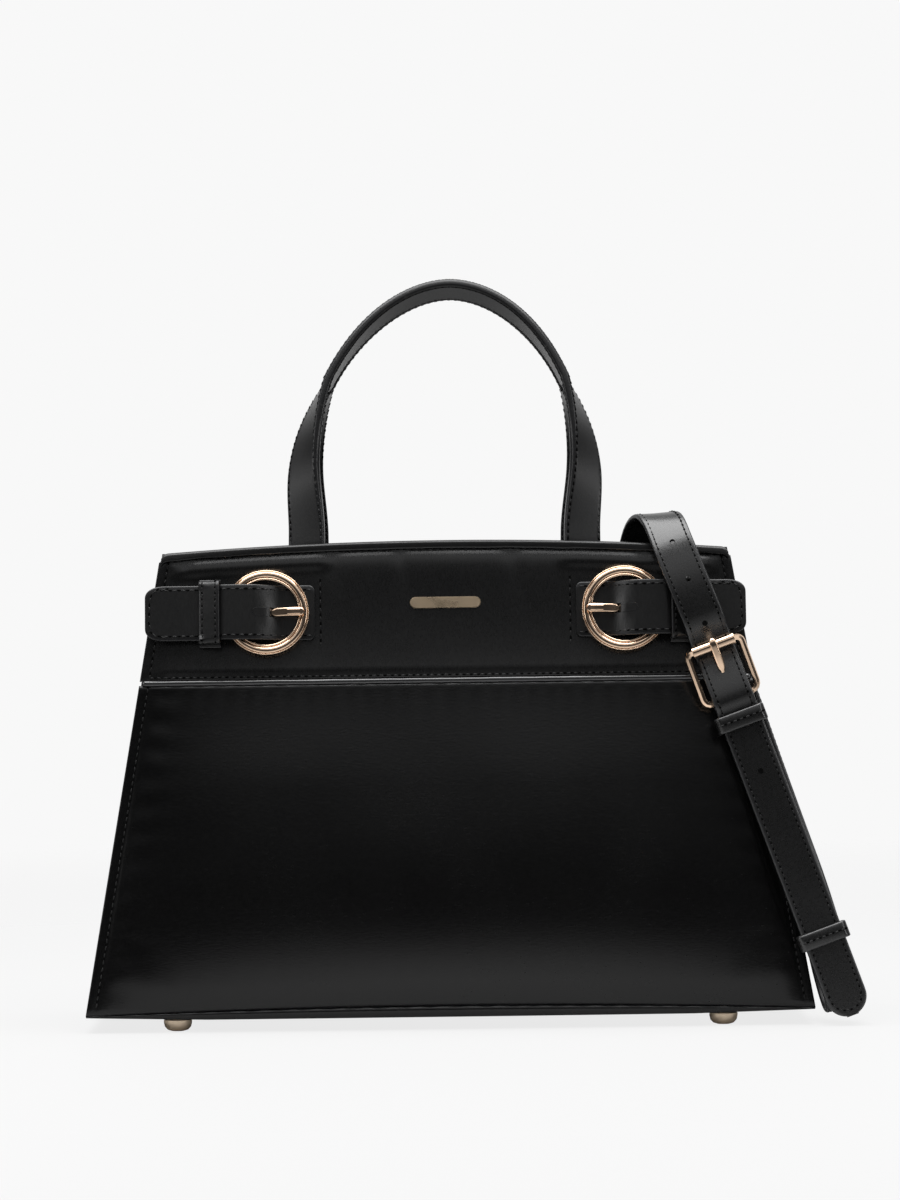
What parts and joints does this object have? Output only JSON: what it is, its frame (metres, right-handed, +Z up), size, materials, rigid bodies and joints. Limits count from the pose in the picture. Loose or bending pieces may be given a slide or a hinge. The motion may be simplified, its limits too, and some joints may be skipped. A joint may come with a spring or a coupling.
{
  "type": "tote bag",
  "caption": "Structured trapezoid leather tote with twin looped handles, buckled side belts, studded base and an adjustable crossbody strap hooked inside.",
  "frame": {"origin": "middle of the base's underside, between the feet, which reach below it", "axes": "+X to the right as seen from the front, +Y to the back, +Z up"},
  "size_m": [0.3361, 0.1273, 0.3246],
  "materials": {
    "black_leather": "fine-grained satin faux leather",
    "patent_leather": "glossy patent",
    "lining_cloth": "matt woven cloth",
    "gold_metal": "polished pale gold plating",
    "stiffener_board": "matt stiff board"
  },
  "bodies": {
    "bag": {"front_panel": "black_leather", "front_yoke": "black_leather", "front_piping": "patent_leather", "front_top_binding": "black_leather", "front_left_handle_anchor": "black_leather", "front_left_foot": "gold_metal", "front_right_handle_anchor": "black_leather", "front_right_foot": "gold_metal", "back_panel": "black_leather", "back_yoke": "black_leather", "back_piping": "patent_leather", "back_top_binding": "black_leather", "back_left_handle_anchor": "black_leather", "back_left_foot": "gold_metal", "back_right_handle_anchor": "black_leather", "back_right_foot": "gold_metal", "left_gusset": "black_leather", "right_gusset": "black_leather", "base_panel": "black_leather", "base_board": "stiffener_board", "lining": "lining_cloth", "name_plate": "gold_metal", "snap_socket": "gold_metal", "snap_stud": "gold_metal", "left_belt": "black_leather", "left_chape": "black_leather", "left_belt_keeper": "black_leather", "left_dring_tab": "black_leather", "left_swivel_eye": "gold_metal", "right_belt": "black_leather", "right_chape": "black_leather", "right_belt_keeper": "black_leather", "right_dring_tab": "black_leather", "right_swivel_eye": "gold_metal", "strap_tip_part": "black_leather", "strap_buckle_part": "black_leather", "fixed_keeper": "black_leather"},
    "front_handle_body": {"front_handle": "black_leather"},
    "back_handle_body": {"back_handle": "black_leather"},
    "left_ring_body": {"left_ring": "gold_metal"},
    "left_prong_body": {"left_prong": "gold_metal"},
    "right_ring_body": {"right_ring": "gold_metal"},
    "right_prong_body": {"right_prong": "gold_metal"},
    "buckle_frame_body": {"roller_buckle_frame": "gold_metal"},
    "roller_body": {"buckle_roller": "gold_metal"},
    "buckle_prong_body": {"buckle_prong": "gold_metal"},
    "keeper_body": {"sliding_keeper": "black_leather"},
    "left_dring_body": {"left_dring": "gold_metal"},
    "right_dring_body": {"right_dring": "gold_metal"},
    "left_hook_body": {"left_hook": "gold_metal"},
    "left_gate_body": {"left_hook_gate": "gold_metal"},
    "right_hook_body": {"right_hook": "gold_metal"},
    "right_gate_body": {"right_hook_gate": "gold_metal"}
  },
  "joints": [
    {"name": "front_handle_fold", "type": "hinge", "parent": "bag", "child": "front_handle_body", "pos_m": [0, -0.03649, 0.20714], "axis": [1, 0, 0], "range_deg": [0, 105]},
    {"name": "back_handle_fold", "type": "hinge", "parent": "bag", "child": "back_handle_body", "pos_m": [0, 0.03649, 0.20714], "axis": [-1, 0, 0], "range_deg": [0, 105]},
    {"name": "left_ring_rock", "type": "hinge", "parent": "bag", "child": "left_ring_body", "pos_m": [-0.09375, -0.04493, 0.17521], "axis": [0, -0.1245, -0.9922], "range_deg": [0, 4]},
    {"name": "left_prong_lift", "type": "hinge", "parent": "left_ring_body", "child": "left_prong_body", "pos_m": [-0.09375, -0.04493, 0.17521], "axis": [0, -0.1245, -0.9922], "range_deg": [0, 8]},
    {"name": "left_dring_swing", "type": "hinge", "parent": "bag", "child": "left_dring_body", "pos_m": [-0.10604, 0, 0.1865], "axis": [0, 1, 0], "range_deg": [-4, 4]},
    {"name": "left_hook_swivel", "type": "hinge", "parent": "bag", "child": "left_hook_body", "pos_m": [-0.10604, 0, 0.149], "axis": [0, 0, 1], "range_deg": [-10, 10]},
    {"name": "left_gate_open", "type": "hinge", "parent": "left_hook_body", "child": "left_gate_body", "pos_m": [-0.10438, 0, 0.16483], "axis": [0, -1, 0], "range_deg": [0, 25], "stiffness_Nm_per_rad": 0.002, "springref_deg": -17.19},
    {"name": "right_ring_rock", "type": "hinge", "parent": "bag", "child": "right_ring_body", "pos_m": [0.09375, -0.04493, 0.17521], "axis": [0, 0.1245, 0.9922], "range_deg": [0, 4]},
    {"name": "right_prong_lift", "type": "hinge", "parent": "right_ring_body", "child": "right_prong_body", "pos_m": [0.09375, -0.04493, 0.17521], "axis": [0, 0.1245, 0.9922], "range_deg": [0, 8]},
    {"name": "right_dring_swing", "type": "hinge", "parent": "bag", "child": "right_dring_body", "pos_m": [0.10604, 0, 0.1865], "axis": [0, 1, 0], "range_deg": [-4, 4]},
    {"name": "right_hook_swivel", "type": "hinge", "parent": "bag", "child": "right_hook_body", "pos_m": [0.10604, 0, 0.149], "axis": [0, 0, 1], "range_deg": [-10, 10]},
    {"name": "right_gate_open", "type": "hinge", "parent": "right_hook_body", "child": "right_gate_body", "pos_m": [0.10438, 0, 0.16483], "axis": [0, 1, 0], "range_deg": [0, 25], "stiffness_Nm_per_rad": 0.002, "springref_deg": -17.19},
    {"name": "buckle_frame_lift", "type": "hinge", "parent": "bag", "child": "buckle_frame_body", "pos_m": [0.12324, -0.05219, 0.13608], "axis": [0.9407, 0, 0.3392], "range_deg": [0, 4]},
    {"name": "roller_spin", "type": "hinge", "parent": "buckle_frame_body", "child": "roller_body", "pos_m": [0.11516, -0.055, 0.1585], "axis": [0.9407, 0, 0.3392], "continuous": true},
    {"name": "buckle_prong_lift", "type": "hinge", "parent": "buckle_frame_body", "child": "buckle_prong_body", "pos_m": [0.12324, -0.05219, 0.13608], "axis": [0.9407, 0, 0.3392], "range_deg": [0, 8]},
    {"name": "keeper_slide", "type": "slide", "parent": "bag", "child": "keeper_body", "axis": [0.3385, -0.0638, -0.9388], "range_m": [-0.06, 0.006]}
  ]
}
